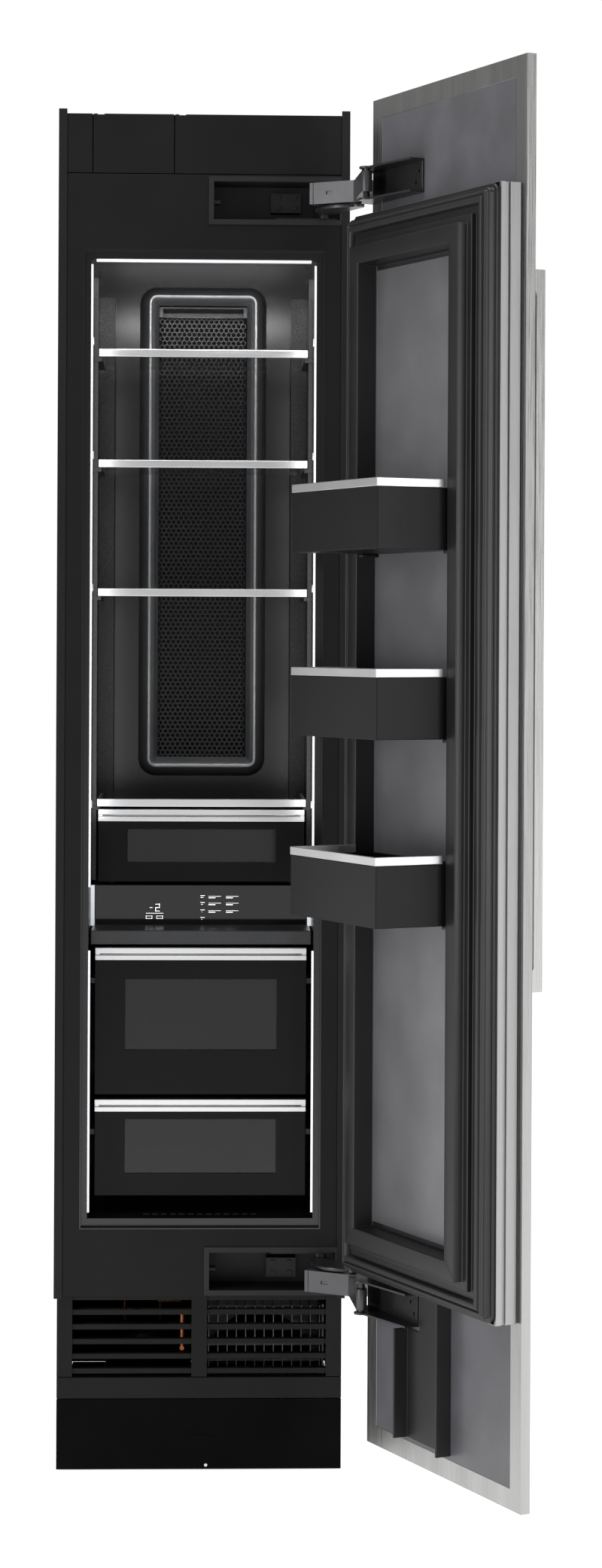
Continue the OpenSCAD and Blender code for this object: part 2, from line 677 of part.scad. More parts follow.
// folded sheet panel: closed front and edges, and a flat border all round its back
module door_panel() color("#c9cacc") on_door() difference() {
    z0 = panel_z0_door;
    z1 = panel_z1_door;
    door_box(0, cabinet_w, -panel_t, 0, z0, z1);
    door_box(sheet, cabinet_w - sheet, -panel_t + sheet, -sheet, z0 + sheet, z1 - sheet);
    door_box(back_in, cabinet_w - back_in, -2 * sheet, 1, z0 + back_in, z1 - back_in);
}
module panel_back() color("#4c4d50") on_door()
    door_box(back_in, cabinet_w - back_in, -sheet, 0, panel_z0_door + back_in, panel_z1_door - back_in);

// hollow sheet case around the door's foam, with a groove along each edge
module door_case() color("#a6a8ab") on_door() difference() {
    w0 = case_in;
    w1 = cabinet_w - case_in;
    groove = 4;
    door_box(w0, w1, 0, case_d, case_z0, case_z1);
    door_box(w0 + groove + sheet, w1 - groove - sheet, sheet, case_d + 1, case_z0 + sheet, case_z1 - sheet);
    for (s = [[w0 - 1, w0 + groove], [w1 - groove, w1 + 1]]) {
        door_box(s[0], s[1], 20, 26, case_z0 - 1, case_z1 + 1);
        door_box(s[0], s[1], -1, 3, case_z0 - 1, case_z1 + 1);
    }
}

module door_liner() color("#37383b") on_door() {
    difference() {
        union() {
            door_box(case_in + 2, cabinet_w - case_in - 2, case_d, step_q, case_z0 + 2, case_z1 - 2);
            door_box(case_in + 8, cabinet_w - case_in - 8, step_q, flange_q, case_z0 + 8, case_z1 - 8);
        }
        door_box(well_s0, cabinet_w - well_s0, well_q, flange_q + 1, plug_z0 + plug_rim, plug_z1 - plug_rim);
    }
    // raised frame of four mitred bars, with a step on its outer side
    frame_bars(rim_step, flange_q + seam, flange_q + 8);
    frame_bars(0, flange_q + 8, plug_q);
    // ledges clipped to the bars carry the bins
    for (z = bin_z, s = [well_s0 + seam, cabinet_w - well_s0 - ledge_s - seam])
        door_box(s, s + ledge_s, well_q + seam, plug_q - 2, z - bin_h - 5, z - bin_h);
}

// the four bars between q0 and q1, standing out past the plug's edge by out, mitred at 45 degrees
module frame_bars(out, q0, q1) {
    s0 = plug_in - out;
    s1 = cabinet_w - s0;
    z0 = plug_z0 - out;
    z1 = plug_z1 + out;
    w = plug_rim + out;
    for (low = [true, false]) {
        a = low ? z0 : z1;
        b = low ? z0 + w : z1 - w;
        door_plate([[s0 + seam, a], [s1 - seam, a], [s1 - w - seam, b], [s0 + w + seam, b]], q0, q1);
        c = low ? s0 : s1;
        d = low ? s0 + w : s1 - w;
        door_plate([[c, z0 + seam], [c, z1 - seam], [d, z1 - w - seam], [d, z0 + w + seam]], q0, q1);
    }
}

// a flat outline of [s, z] points, q0 to q1 from the panel's back
module door_plate(outline, q0, q1)
    translate([0, q1, 0]) rotate([90, 0, 0]) linear_extrude(q1 - q0)
        polygon([for (p = outline) [-p[0], p[1]]]);

gasket_w = 18;
module door_gasket() color("#1a1a1b") on_door() difference() {
    o = half_w - mouth_hw - liner_t - 1.5 - gasket_w;
    i = o + gasket_w;
    door_box(o, cabinet_w - o, flange_q, door_t - 0.5, mouth_z0 - 3 - gasket_w, mouth_z1 + 3 + gasket_w);
    door_box(i, cabinet_w - i, flange_q - 1, door_t + 1, mouth_z0 - 3, mouth_z1 + 3);
}

// flat bar on edge with a long round-ended finger opening behind it
module door_handle() color("#c4c5c8") on_door() {
    z0 = panel_z1_door - 293 - handle_l;
    bar = 14;
    end = 24;
    slot = handle_out - bar;
    difference() {
        door_box(cabinet_w - handle_in - 10, cabinet_w - handle_in + 10,
            -panel_t - handle_out, -panel_t, z0, z0 + handle_l);
        door_box(cabinet_w - handle_in - 11, cabinet_w - handle_in + 11,
            -panel_t - slot, -panel_t + 1, z0 + end + slot / 2, z0 + handle_l - end - slot / 2);
        for (z = [z0 + end + slot / 2, z0 + handle_l - end - slot / 2])
            translate([-(cabinet_w - handle_in) - 11, -panel_t - slot / 2, z]) rotate([0, 90, 0])
                cylinder(r = slot / 2, h = 22);
    }
}

// channel that ties the panel's lower end to the door case
module fixing_profile() color("#111112") on_door() difference() {
    door_box(125, 255, 0, 24, panel_z0_door + 36, case_z0 - 4);
    door_box(129, 251, 2, 25, panel_z0_door + 35, case_z0 - 3);
    // cut back beside the lower hinge bracket
    door_box(124, 164, -1, 25, lower_z - pocket_h / 2 - 3, case_z0);
}

// channel brackets that carry the door on the hinge arms, drawn for the upper hinge's level
module bracket() difference() {
    union() {
        door_box(6, 160, 0, 3, ear_lo, ear_hi + ear_t);
        for (z = [ear_lo, ear_hi]) translate([0, 0, z]) linear_extrude(ear_t) {
            polygon([[-160, 0], [-6, 0], [-6, 22], [-pivot_c[0] + 12, pivot_c[1] + 2],
                [-pivot_c[0] - 12, pivot_c[1] + 2], [-160, 24]]);
            translate([-pivot_c[0], pivot_c[1]]) circle(r = 11);
        }
        translate([-pivot_c[0], pivot_c[1], ear_lo]) cylinder(r = pin_r, h = ear_hi + ear_t - ear_lo);
    }
    for (s = [140, 150]) translate([-s, -1, -8 + (s - 140) * 1.6]) rotate([-90, 0, 0]) cylinder(r = 3, h = 5);
}
module door_brackets() color("#1b1b1d") on_door() {
    translate([0, 0, upper_z]) bracket();
    translate([0, 0, lower_z]) mirror([0, 0, 1]) bracket();
}

bin_s0 = well_s0 + bin_gap;
bin_w = cabinet_w - 2 * bin_s0;
module bin_tub(i) color("#26272a") on_door() difference() {
    z1 = bin_z[i] - 12;
    z0 = bin_z[i] - bin_h;
    door_box(bin_s0, bin_s0 + bin_w, well_q + gap, plug_q + bin_reach - 1, z0, z1);
    door_box(bin_s0 + 3, bin_s0 + bin_w - 3, well_q + 3 + gap, plug_q + bin_reach - 4, z0 + 3, z1 + 1);
}
module bin_rim(i) color("#d5d6d9") on_door() difference() {
    z1 = bin_z[i];
    door_box(bin_s0, bin_s0 + bin_w, plug_q + 2, plug_q + bin_reach, z1 - 12, z1);
    door_box(bin_s0 + 3, bin_s0 + bin_w - 3, plug_q, plug_q + bin_reach - 4, z1 - 13, z1 + 1);
}
module bin_1_tub() bin_tub(0);
module bin_1_rim() bin_rim(0);
module bin_2_tub() bin_tub(1);
module bin_2_rim() bin_rim(1);
module bin_3_tub() bin_tub(2);
module bin_3_rim() bin_rim(2);

// ---- hinge linkage, drawn for the upper hinge's level ----

// crescent plate from the pocket pivot to the arm, with the arm's pin on it
module link() translate([0, face_y, 0]) {
    a = pivot_a;
    b = pivot_b;
    d = b - a;
    half = norm(d) / 2;
    off = 20;
    difference() {
        translate([0, 0, link_z]) linear_extrude(link_t) {
            bar_2d(a, b, 18);
            translate((a + b) / 2) rotate(atan2(d[1], d[0])) intersection() {
                translate([0, off]) circle(r = sqrt(half * half + off * off));
                translate([-half, -60]) square([2 * half, 60]);
            }
        }
        translate([a[0], a[1], link_z - 1]) cylinder(r = pin_r + fit, h = link_t + 2);
    }
    translate([b[0], b[1], link_z + link_t]) cylinder(r = pin_r, h = 22);
}

// arm under a box cover, bored for the link's pin and for the bracket's pin
module arm(bore_c) translate([0, face_y, 0]) {
    c = pivot_c_now;
    d = cover_to - cover_from;
    difference() {
        union() {
            translate([0, 0, arm_z + 1]) linear_extrude(arm_h - 2) bar_2d(pivot_b, c, arm_w);
            translate([cover_from[0], cover_from[1], arm_z]) rotate([0, 0, atan2(d[1], d[0])]) {
                translate([0, -cover_w / 2, 0]) cube([norm(d), cover_w, arm_h]);
                translate([-2, -cover_w / 2 - 1, 0]) cube([6, cover_w + 2, arm_h]);
            }
        }
        translate([pivot_b[0], pivot_b[1], arm_z - 1]) cylinder(r = pin_r + fit, h = 24);
        translate([c[0], c[1], arm_z - 1]) cylinder(r = bore_c, h = arm_h + 2);
        translate([cover_from[0], cover_from[1], 0]) rotate([0, 0, atan2(d[1], d[0])])
            translate([26, -cover_w / 2 - 1, 1]) cube([11, 3, 5]);
    }
}

module upper_hinge_link() color("#2a2a2c") translate([0, 0, upper_z]) link();
module upper_hinge_arm() color("#56575a") translate([0, 0, upper_z]) arm(pin_r + fit);
module lower_hinge_link() color("#2a2a2c") translate([0, 0, lower_z]) mirror([0, 0, 1]) link();
module lower_hinge_arm() color("#56575a") translate([0, 0, lower_z]) mirror([0, 0, 1]) arm(pin_r + loose);

outer_shell();
insulation();
inner_liner();
face_frame();
top_covers();
hinge_pockets();
grille();
lower_strip();
kick_plate();
base_tray();
compressor();
condenser();
refrigerant_pipes();
air_cover();
air_lattice();
led_strips();
shelf_tracks();
control_housing();
control_glass();
power_inlet();
condenser_fan();
evaporator_fan();
rear_rollers();
leg_left();
leg_right();
shelf_1_glass();
shelf_1_trim();
shelf_2_glass();
shelf_2_trim();
shelf_3_glass();
shelf_3_trim();
shelf_4_glass();
shelf_4_trim();
drawer_1_tub();
drawer_1_rail();
drawer_1_window();
drawer_2_tub();
drawer_2_rail();
drawer_2_window();
drawer_3_tub();
drawer_3_rail();
drawer_3_window();
door_case();
door_liner();
door_gasket();
panel_back();
door_panel();
door_handle();
fixing_profile();
door_brackets();
bin_1_tub();
bin_1_rim();
bin_2_tub();
bin_2_rim();
bin_3_tub();
bin_3_rim();
upper_hinge_link();
upper_hinge_arm();
lower_hinge_link();
lower_hinge_arm();
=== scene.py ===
# %% [markdown]
# # A built-in freezer column with its door open
#
# This notebook dresses a finished mechanical model: a narrow freezer column
# for a row of kitchen cabinets, with its door swung wide on jointed hinges.
# The mechanical model already has the right sizes and moving parts, so it is
# loaded as a fixed frame. What is added here is what the eye needs: brushed
# and pressed steel, moulded plastic, soft edges, lamps and a lit display.

import json
import math

import bmesh
import bpy
import numpy as np
from mathutils import Matrix, Vector


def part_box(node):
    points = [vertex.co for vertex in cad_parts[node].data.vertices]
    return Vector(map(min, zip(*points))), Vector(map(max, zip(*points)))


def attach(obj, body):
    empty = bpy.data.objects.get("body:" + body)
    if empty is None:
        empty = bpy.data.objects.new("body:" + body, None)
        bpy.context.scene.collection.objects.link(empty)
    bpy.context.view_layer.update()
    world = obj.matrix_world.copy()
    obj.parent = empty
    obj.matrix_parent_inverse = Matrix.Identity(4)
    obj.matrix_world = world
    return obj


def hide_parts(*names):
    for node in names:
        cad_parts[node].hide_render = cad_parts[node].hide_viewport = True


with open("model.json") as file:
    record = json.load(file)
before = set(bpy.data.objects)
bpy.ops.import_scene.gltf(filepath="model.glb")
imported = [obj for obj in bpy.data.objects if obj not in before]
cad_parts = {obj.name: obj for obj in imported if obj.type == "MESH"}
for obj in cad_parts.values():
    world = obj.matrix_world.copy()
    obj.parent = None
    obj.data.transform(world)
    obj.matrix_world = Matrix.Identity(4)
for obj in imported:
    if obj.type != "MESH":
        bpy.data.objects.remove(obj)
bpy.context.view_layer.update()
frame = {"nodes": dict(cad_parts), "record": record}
record = frame["record"]
body_of = {n: b for b, nodes in record["behaviour"]["bodies"].items() for n in nodes}
MM = 0.001

# %% [markdown]
# ## Camera
#
# A tall object is usually shot from far away with a long lens at about
# chest height, so that its upright edges stay parallel. The lens is shifted
# down instead of tilting the camera: a tilt would make the uprights converge.

# %% Camera
camera = bpy.data.objects.new("camera", bpy.data.cameras.new("camera"))
bpy.context.collection.objects.link(camera)
bpy.context.scene.camera = camera
PLACE = (-0.0105, -4.933, 1.291)
YAW, LEVEL, ROLL = (math.radians(a) for a in (-1.9, 90, 0.272))
camera.matrix_world = (
    Matrix.Translation(PLACE)
    @ Matrix.Rotation(YAW, 4, "Z")
    @ Matrix.Rotation(LEVEL, 4, "X")
    @ Matrix.Rotation(ROLL, 4, "Z")
)
camera.data.sensor_width = 36
camera.data.lens = 72.9
camera.data.shift_y = -0.0922
camera.data.clip_end = 50
print("camera at", [round(v, 3) for v in camera.location])

# %% [markdown]
# ## Studio
#
# Black and steel surfaces show mostly what they reflect. Two tall soft lights
# stand left and right, a third hangs above, and the room in front stays dim,
# so the black faces keep their depth. The background itself is plain white:
# the world is bright where the camera looks at it and dimmer as a light.

# %% Colours and nodes


def linear(code):
    """sRGB hex to linear RGBA: below 0.04045 a division, above it a power of 2.4."""
    c = np.array([int(code[i : i + 2], 16) for i in (1, 3, 5)]) / 255
    c = np.where(c <= 0.04045, c / 12.92, ((c + 0.055) / 1.055) ** 2.4)
    return (*[float(v) for v in c], 1.0)


def add(tree, kind, inputs=None, **settings):
    """A node with its settings; an input that is a socket is linked, any other is its value."""
    node = tree.nodes.new(kind)
    for key, value in settings.items():
        setattr(node, key, value)
    for key, value in (inputs or {}).items():
        if isinstance(value, bpy.types.NodeSocket):
            tree.links.new(value, node.inputs[key])
        else:
            node.inputs[key].default_value = value
    return node


# %% Lights, floor and background
scene = bpy.context.scene
scene.view_settings.view_transform = "Standard"
world = bpy.data.worlds.new("studio")
scene.world = world
world.use_nodes = True
tree = world.node_tree
tree.nodes.clear()
seen = add(tree, "ShaderNodeLightPath").outputs["Is Camera Ray"]
white = add(tree, "ShaderNodeBackground", {"Color": (1, 1, 1, 1), "Strength": 1.02})
dim = add(tree, "ShaderNodeBackground", {"Color": (1, 1, 1, 1), "Strength": 0.30})
mixed = add(tree, "ShaderNodeMixShader", {0: seen, 1: dim.outputs[0], 2: white.outputs[0]})
add(tree, "ShaderNodeOutputWorld", {"Surface": mixed.outputs[0]})


def soft_light(name, place, target, width, height, watts):
    """A rectangular area light at place, aimed at target."""
    data = bpy.data.lights.new(name, "AREA")
    data.shape = "RECTANGLE"
    data.size, data.size_y, data.energy = width, height, watts
    lamp = bpy.data.objects.new(name, data)
    bpy.context.collection.objects.link(lamp)
    lamp.location = place
    lamp.rotation_euler = (Vector(target) - Vector(place)).to_track_quat("-Z", "Y").to_euler()


soft_light("left softbox", (-3.2, -2.6, 1.5), (0.2, -0.2, 1.1), 1.2, 3.0, 75)
soft_light("right softbox", (2.6, -3.4, 1.6), (0.4, -0.4, 1.1), 1.0, 2.8, 60)
soft_light("overhead", (0.0, -0.8, 4.2), (0.0, 0.0, 0.0), 3.0, 2.5, 90)

# the light that the cabinet's own lamps throw on its walls and tower
soft_light("ceiling lamp", (0.0, 0.04, 1.872), (0.0, 0.42, 1.55), 0.32, 0.03, 0.55)
for side in (-1, 1):
    soft_light(f"wall lamp {side}", (side * 0.166, 0.06, 1.42), (side * -0.02, 0.48, 1.42),
               0.02, 0.84, 0.16)

FLOOR = 60.0
mesh = bpy.data.meshes.new("floor")
corners = [(-FLOOR, -FLOOR, 0), (FLOOR, -FLOOR, 0), (FLOOR, FLOOR, 0), (-FLOOR, FLOOR, 0)]
mesh.from_pydata(corners, [], [(0, 1, 2, 3)])
floor = bpy.data.objects.new("floor", mesh)
bpy.context.collection.objects.link(floor)
paper = bpy.data.materials.new("white studio paper")
paper.use_nodes = True
shader = paper.node_tree.nodes["Principled BSDF"]
shader.inputs["Base Color"].default_value = linear("#F4F4F4")
shader.inputs["Roughness"].default_value = 0.6
shader.inputs["Emission Color"].default_value = (1, 1, 1, 1)
shader.inputs["Emission Strength"].default_value = 0.74
mesh.materials.append(paper)

# %% [markdown]
# ## Finishes
#
# Every finish here is one of a few families: sprayed paint, moulded plastic,
# brushed or drawn metal, rubber and glass. All of them are two close colours
# in soft patches, a fine grain that moves the gloss a little, and a shallow
# relief. A brushed metal is the same recipe with its grain drawn out long.
# So one function makes them all, and each call says what the real one is.

# %% One recipe for a finish


def finish(name, colour, second, rough, metallic=0.0, ior=1.5, grain=1.6, stretch=(1, 1, 1),
           relief=0.02, spread=0.05, patch=90, specular=0.5):
    """Two colours in patches of `patch` mm and a grain of `grain` mm; the grain moves the
    roughness by +-spread and stands `relief` mm high. Small stretch values draw it out."""
    material = bpy.data.materials.new(name)
    material.use_nodes = True
    tree = material.node_tree
    shader = tree.nodes["Principled BSDF"]
    place = add(tree, "ShaderNodeTexCoord").outputs["Object"]
    drawn = add(tree, "ShaderNodeMapping", {"Vector": place, "Scale": stretch}).outputs[0]
    fine = add(tree, "ShaderNodeTexNoise",
               {"Vector": drawn, "Scale": 1 / (grain * MM), "Detail": 2.0})
    broad = add(tree, "ShaderNodeTexNoise",
                {"Vector": drawn, "Scale": 1 / (patch * MM), "Detail": 3.0})
    share = add(tree, "ShaderNodeMapRange", {0: broad.outputs[0], 1: 0.35, 2: 0.65, 3: 0.0, 4: 1.0})
    tone = add(tree, "ShaderNodeMix", {0: share.outputs[0], 6: linear(colour), 7: linear(second)},
               data_type="RGBA")
    gloss = add(tree, "ShaderNodeMapRange",
                {0: fine.outputs[0], 1: 0.3, 2: 0.7, 3: max(rough - spread, 0.02), 4: rough + spread})
    bump = add(tree, "ShaderNodeBump",
               {"Height": fine.outputs[0], "Strength": 0.35, "Distance": relief * MM})
    tree.links.new(tone.outputs[2], shader.inputs["Base Color"])
    tree.links.new(gloss.outputs[0], shader.inputs["Roughness"])
    tree.links.new(bump.outputs[0], shader.inputs["Normal"])
    shader.inputs["Metallic"].default_value = metallic
    shader.inputs["Specular IOR Level"].default_value = specular
    if not metallic:
        shader.inputs["IOR"].default_value = ior
    return material


UPRIGHT = (1, 1, 0.012)
ACROSS = (0.012, 1, 1)
# polyester powder coat, a satin charcoal with a faint orange peel
charcoal = finish("charcoal powder coat", "#0A0A0B", "#0D0D0E", 0.5, relief=0.03, specular=0.16)
# pre-painted casing sheet, a shade darker
casing = finish("black coated casing sheet", "#0C0C0D", "#101011", 0.5, specular=0.2)
# the same matt black also serves as painted shade for the machine bay
kick_and_bay_shade_black = finish("matt black plinth paint and painted bay shade", "#020202", "#040404", 0.75, specular=0.06)
pocket = finish("black painted hinge pocket", "#121213", "#161617", 0.5, specular=0.3)
# vacuum-formed ABS with a high gloss: nearly a black mirror
liner_black = finish("gloss black formed ABS", "#0A0A0B", "#0E0E0F", 0.2, ior=1.53,
                     spread=0.04, relief=0.01)
tracks_black = finish("moulded black ABS tracks", "#0B0B0C", "#101011", 0.3, ior=1.53)
# stainless sheet with an upright brushed grain, drawn coarser than life so that it shows
steel = finish("brushed stainless sheet", "#AEAEAD", "#A2A2A1", 0.3, 1.0, grain=1.4, stretch=UPRIGHT,
               relief=0.012, spread=0.07, patch=45)
handle_steel = finish("brushed stainless bar", "#C4C4C3", "#B8B8B7", 0.27, 1.0, grain=1.2,
                      stretch=UPRIGHT, relief=0.01)
case_steel = finish("satin stainless door case", "#9A9A9A", "#8C8C8C", 0.34, 1.0, grain=1.6,
                    stretch=UPRIGHT, relief=0.01)
# stainless sheet drawn over a die: smoother and glossier than brushed
drawn_steel = finish("drawn bright stainless", "#C9CACC", "#BCBDC0", 0.34, 0.72, grain=2.0, relief=0.01,
                     spread=0.05)
# extruded aluminium, brushed along its length and clear anodised
trim = finish("brushed anodised aluminium", "#E6E6E7", "#DBDBDC", 0.33, 1.0, grain=1.2, stretch=ACROSS,
              relief=0.008)
door_plastic = finish("satin dark grey formed ABS", "#151516", "#19191A", 0.38, ior=1.53,
                      spread=0.05, specular=0.35)
panel_back = finish("dark grey coated steel back", "#4A4A4D", "#55555A", 0.36)
rubber = finish("black vinyl gasket", "#111112", "#151516", 0.5, ior=1.52)
smoke = finish("smoked satin acrylic", "#0A0A0B", "#0E0E0F", 0.34, ior=1.49, spread=0.03,
               specular=0.2)
drawer_black = finish("dark tinted drawer acrylic", "#050506", "#070708", 0.3, ior=1.49,
                      spread=0.03, specular=0.16)
hinge_black = finish("black e-coated hinge steel", "#19191A", "#202021", 0.32, spread=0.08)
hinge_grey = finish("grey satin hinge cover", "#3C3C3E", "#454547", 0.34, 0.4, spread=0.05)
profile_black = finish("matt black fixing profile", "#0F0F10", "#141415", 0.5)
base_grey = finish("dark zinc base sheet", "#2A2A2C", "#333335", 0.5, 0.5)
fins = finish("mill aluminium fins", "#6A6C6F", "#585A5D", 0.4, 0.9)
copper = finish("drawn copper pipe", "#B87847", "#A0633A", 0.3, 1.0)
foam = finish("cut polyurethane foam", "#D9CDA2", "#E4DAB8", 0.9, relief=0.2)
nylon = finish("black nylon", "#151516", "#1B1B1C", 0.45)
zinc = finish("bright zinc plated steel", "#8F9296", "#7E8185", 0.3, 1.0)
panel_grey = finish("satin grey control ledge", "#202123", "#28292B", 0.3, ior=1.53)
black_glass = finish("black printed glass", "#020203", "#030304", 0.06, ior=1.52, spread=0.02,
                     relief=0.0)


def clear_pane(name, tint, rough, alpha):
    """A thin tinted pane: a smooth dielectric that lets part of the light straight through."""
    material = finish(name, tint, tint, rough, ior=1.52, spread=0.01, relief=0.002)
    material.node_tree.nodes["Principled BSDF"].inputs["Alpha"].default_value = alpha
    return material


def glowing(name, colour, strength):
    """A lamp cover: white plastic that gives off its own light."""
    material = finish(name, colour, colour, 0.4, relief=0.0)
    shader = material.node_tree.nodes["Principled BSDF"]
    shader.inputs["Emission Color"].default_value = linear(colour)
    shader.inputs["Emission Strength"].default_value = strength
    return material


shelf_pane = clear_pane("clear shelf glass", "#20282A", 0.05, 0.22)
window_pane = clear_pane("tinted drawer window", "#1A1B1D", 0.08, 0.55)
lamp = glowing("LED light guide", "#F7FAFF", 0.4)
lit = glowing("lit display symbols", "#FFFFFF", 1.0)

FINISHES = {
    "outer_shell": casing, "insulation": foam, "inner_liner": liner_black, "face_frame": charcoal,
    "top_covers": charcoal, "hinge_pockets": pocket, "grille": charcoal, "lower_strip": charcoal,
    "kick_plate": kick_and_bay_shade_black, "base_tray": base_grey, "compressor": hinge_black, "condenser": fins,
    "refrigerant_pipes": copper, "air_cover": drawn_steel, "air_lattice": tracks_black,
    "led_strips": lamp, "shelf_tracks": tracks_black, "control_housing": panel_grey,
    "control_glass": black_glass, "power_inlet": nylon, "condenser_fan": nylon,
    "evaporator_fan": nylon, "rear_rollers": nylon, "leg_left": zinc, "leg_right": zinc,
    "door_case": case_steel, "door_liner": door_plastic, "door_gasket": rubber,
    "panel_back": panel_back, "door_panel": steel, "door_handle": handle_steel,
    "fixing_profile": profile_black, "door_brackets": hinge_black,
    "upper_hinge_link": hinge_black, "lower_hinge_link": hinge_black,
    "upper_hinge_arm": hinge_grey, "lower_hinge_arm": hinge_grey,
}
for i in (1, 2, 3, 4):
    FINISHES |= {f"shelf_{i}_glass": shelf_pane, f"shelf_{i}_trim": trim}
for i in (1, 2, 3):
    FINISHES |= {f"drawer_{i}_tub": drawer_black, f"drawer_{i}_rail": trim,
                 f"drawer_{i}_window": window_pane, f"bin_{i}_tub": smoke, f"bin_{i}_rim": trim}
for name, material in FINISHES.items():
    data = frame["nodes"][name].data
    data.materials.clear()
    data.materials.append(material)
print("finishes:", len(set(FINISHES.values())), "without one:", sorted(set(body_of) - set(FINISHES)))

# %% [markdown]
# ## Soft edges
#
# No real sheet, casting or moulding has a perfectly sharp edge: each one
# catches a thin line of light. The frame's parts are sharp, so every part
# that is seen close gets a copy whose edges are rounded by a bevel. The
# copy stands for its part and rides on the same body.

# %% Rounded copies
SHARP_EDGE = math.radians(35)
FLAT = math.radians(0.5)


def show(obj, body, material=None):
    """Puts a new piece on its body and, when a material is given, gives the piece that material."""
    if material:
        obj.data.materials.clear()
        obj.data.materials.append(material)
    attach(obj, body)
    return obj


def soften(node, radius):
    """A copy of a part, its doubled points merged and its flat faces joined, with every edge
    sharper than SHARP_EDGE rounded to radius mm."""
    data = frame["nodes"][node].data.copy()
    shape = bmesh.new()
    shape.from_mesh(data)
    bmesh.ops.remove_doubles(shape, verts=shape.verts, dist=0.01 * MM)
    bmesh.ops.dissolve_limit(shape, angle_limit=FLAT, verts=shape.verts, edges=shape.edges)
    shape.to_mesh(data)
    shape.free()
    obj = bpy.data.objects.new(node + "_rounded", data)
    bpy.context.collection.objects.link(obj)
    bevel = obj.modifiers.new("edges", "BEVEL")
    bevel.width = radius * MM
    bevel.segments = 2
    bevel.limit_method = "ANGLE"
    bevel.angle_limit = SHARP_EDGE
    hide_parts(node)
    return show(obj, body_of[node])


ROUNDED = {"door_panel": 0.8, "door_handle": 2.2, "face_frame": 0.5, "top_covers": 0.6,
           "kick_plate": 0.5, "lower_strip": 0.6, "grille": 1.2, "control_housing": 1.5,
           "control_glass": 0.6, "fixing_profile": 0.6, "door_case": 0.7,
           "upper_hinge_arm": 1.5, "lower_hinge_arm": 1.5, "upper_hinge_link": 0.8,
           "lower_hinge_link": 0.8, "door_brackets": 0.7, "outer_shell": 0.5}
for i in (1, 2, 3, 4):
    ROUNDED[f"shelf_{i}_trim"] = 0.8
for i in (1, 2, 3):
    ROUNDED |= {f"drawer_{i}_tub": 0.9, f"drawer_{i}_rail": 0.8, f"bin_{i}_tub": 1.2,
                f"bin_{i}_rim": 0.8}
for node, radius in ROUNDED.items():
    soften(node, radius)
print("rounded copies:", len(ROUNDED))

# %% [markdown]
# ## Shapes carried round a rectangle
#
# The door liner, its gasket and the air tower's cover are all one cross-
# section carried round a rectangle with round corners. Such a surface is a
# grid: one direction runs round the rectangle, the other along the section.
# Each point of the section says how far in from the edge it lies and how
# far it stands out, and numpy works out all the rings at once.

# %% Grids and rings


def grid_piece(name, points, body, material, caps=False):
    """A mesh from a grid of points whose rows are closed rings: point j of ring i joins to j + 1
    and to ring i + 1. caps closes the first and the last ring with a face."""
    rings, count = points.shape[:2]
    i = np.arange(rings - 1)[:, None]
    j = np.arange(count)[None, :]
    up, side = i + 1, (j + 1) % count
    quads = np.stack(np.broadcast_arrays(i * count + j, up * count + j, up * count + side,
                                         i * count + side), -1).reshape(-1, 4).tolist()
    if caps:
        quads += [list(range(count)), list(range((rings - 1) * count, rings * count))]
    data = bpy.data.meshes.new(name)
    data.from_pydata(points.reshape(-1, 3).tolist(), [], quads)
    shape = bmesh.new()
    shape.from_mesh(data)
    bmesh.ops.remove_doubles(shape, verts=shape.verts, dist=0.001 * MM)
    bmesh.ops.recalc_face_normals(shape, faces=shape.faces)
    shape.to_mesh(data)
    shape.free()
    data.shade_smooth()
    obj = bpy.data.objects.new(name, data)
    bpy.context.collection.objects.link(obj)
    return show(obj, body, material)


def rings(half_w, low, high, section, corner, arc=7):
    """Rings (a, b, out) for each section point (inset, out): a rectangle of half width half_w
    from low to high, moved in by inset, each corner a quarter circle of radius corner-inset."""
    inset, out = np.array(section, float).T[:, :, None, None]
    radius = np.maximum(corner - inset, 1.5)
    turn = np.linspace(0, np.pi / 2, arc)[None, None, :] + np.arange(4)[None, :, None] * np.pi / 2
    right = np.array([1, -1, -1, 1])[None, :, None]
    top = np.array([1, 1, -1, -1])[None, :, None]
    a = right * (half_w - inset - radius) + radius * np.cos(turn)
    middle, half_h = (low + high) / 2, (high - low) / 2
    b = middle + top * (half_h - inset - radius) + radius * np.sin(turn)
    grid = np.stack(np.broadcast_arrays(a, b, out + 0 * a), -1)
    return grid.reshape(len(section), -1, 3)


# how far the door is drawn open, and its panel's rear corner on the hinge side, in mm
TURN = math.radians(115)
CORNER = (253.1, -152.7)


def on_door(s, q, z):
    """A point of the door in metres: s runs from the hinge edge to the latch edge and q from the
    panel's back into the cabinet, both turned with the open door."""
    x = CORNER[0] - s * math.cos(TURN) - q * math.sin(TURN)
    y = CORNER[1] - s * math.sin(TURN) + q * math.cos(TURN)
    return np.stack(np.broadcast_arrays(x, y, z), -1) * MM


WIDTH = 451.0
print("rings per section point:", rings(100, 0, 200, [(0, 0)], 20).shape)

# %% [markdown]
# ## Door liner
#
# The inside of the door is one sheet of plastic sucked over a mould. Its
# edges step up from the steel case to a raised frame, and the frame slopes
# back down into a deep well. Formed plastic has no crisp corner anywhere,
# so the section is a chain of short arcs.

# %% Door liner with its raised frame and well


def eased(points, radius=1.5, steps=3):
    """A section with each corner cut by a short curve: two points radius before and after the
    corner, and the corner's quadratic curve between them."""
    points = np.array(points, float)
    out = [points[0]]
    for before, here, after in zip(points, points[1:], points[2:]):
        a, b = before - here, after - here
        la, lb = np.hypot(*a), np.hypot(*b)
        r = min(radius, la * 0.45, lb * 0.45)
        start, end = here + a / la * r, here + b / lb * r
        t = np.linspace(0, 1, steps + 1)[:, None]
        out += list((1 - t) ** 2 * start + 2 * t * (1 - t) * here + t**2 * end)
    return out + [points[-1]]


case_in, case_low, case_high = 12, 347, 1923
